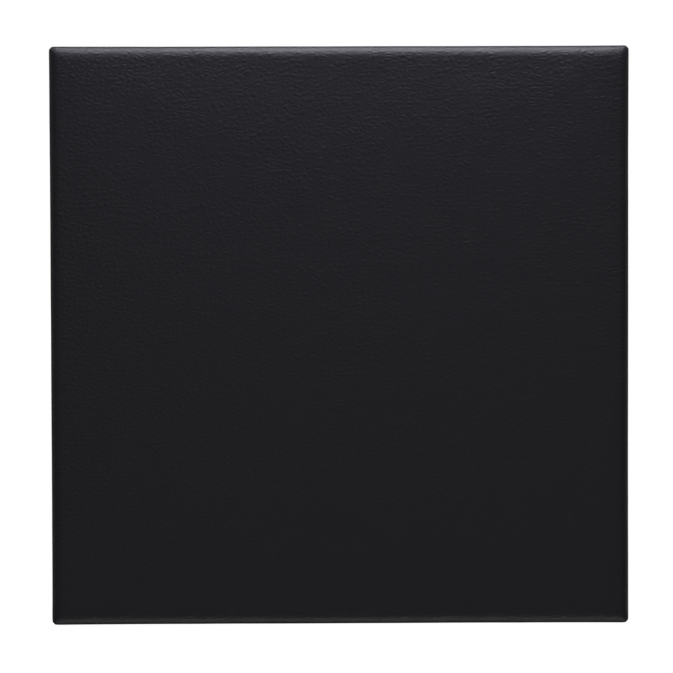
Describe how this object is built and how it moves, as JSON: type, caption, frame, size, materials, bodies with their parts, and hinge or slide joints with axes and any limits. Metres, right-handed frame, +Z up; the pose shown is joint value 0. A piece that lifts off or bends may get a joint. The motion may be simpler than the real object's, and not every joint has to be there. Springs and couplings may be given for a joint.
{
  "type": "wall punch pad",
  "caption": "Square black punch pad for a wall: layered foam in a leather-look cover on a plywood board that hooks onto a wall rail.",
  "frame": {"origin": "middle of the wall rail's back face, level with its screw holes, on the surface of the wall", "axes": "+Z up, +Y into the wall, +X to the right as seen by the person who strikes the pad; the face looks along -Y"},
  "size_m": [0.4, 0.078, 0.4],
  "materials": {
    "cover_leather": "fine pebbled black synthetic leather, satin",
    "strike_foam": "dense closed-cell foam, matt charcoal",
    "soft_foam": "open-cell cut foam, matt cream",
    "bonded_foam": "bonded chip foam, mottled, matt",
    "plywood": "birch plywood, bare, lightly sanded",
    "rail_aluminium": "extruded, satin mill finish",
    "zinc_steel": "bright zinc plated steel",
    "staple_wire": "galvanised flat wire",
    "black_nylon": "moulded nylon, matt",
    "bumper_rubber": "moulded rubber, matt"
  },
  "bodies": {
    "wall_mount": {"wall_rail": "rail_aluminium"},
    "pad": {"cover": "cover_leather", "impact_foam": "soft_foam", "base_foam": "bonded_foam", "backing_board": "plywood", "staples": "staple_wire", "t_nuts": "zinc_steel", "pad_rail": "rail_aluminium", "rail_screws": "zinc_steel", "rail_washers": "zinc_steel", "rail_end_stop_left": "black_nylon", "rail_end_stop_right": "black_nylon", "stop_screws": "zinc_steel", "bumper_left": "bumper_rubber", "bumper_right": "bumper_rubber", "bumper_screws": "zinc_steel"},
    "strike_face": {"strike_layer": "strike_foam"}
  },
  "joints": [
    {"name": "pad_lift", "type": "slide", "parent": "wall_mount", "child": "pad", "axis": [0, 0, 1], "range_m": [0, 0.014]},
    {"name": "face_press", "type": "slide", "parent": "pad", "child": "strike_face", "axis": [0, 1, 0], "range_m": [0, 0.015], "stiffness_N_per_m": 60000, "deforming": ["cover", "impact_foam", "base_foam"]}
  ]
}
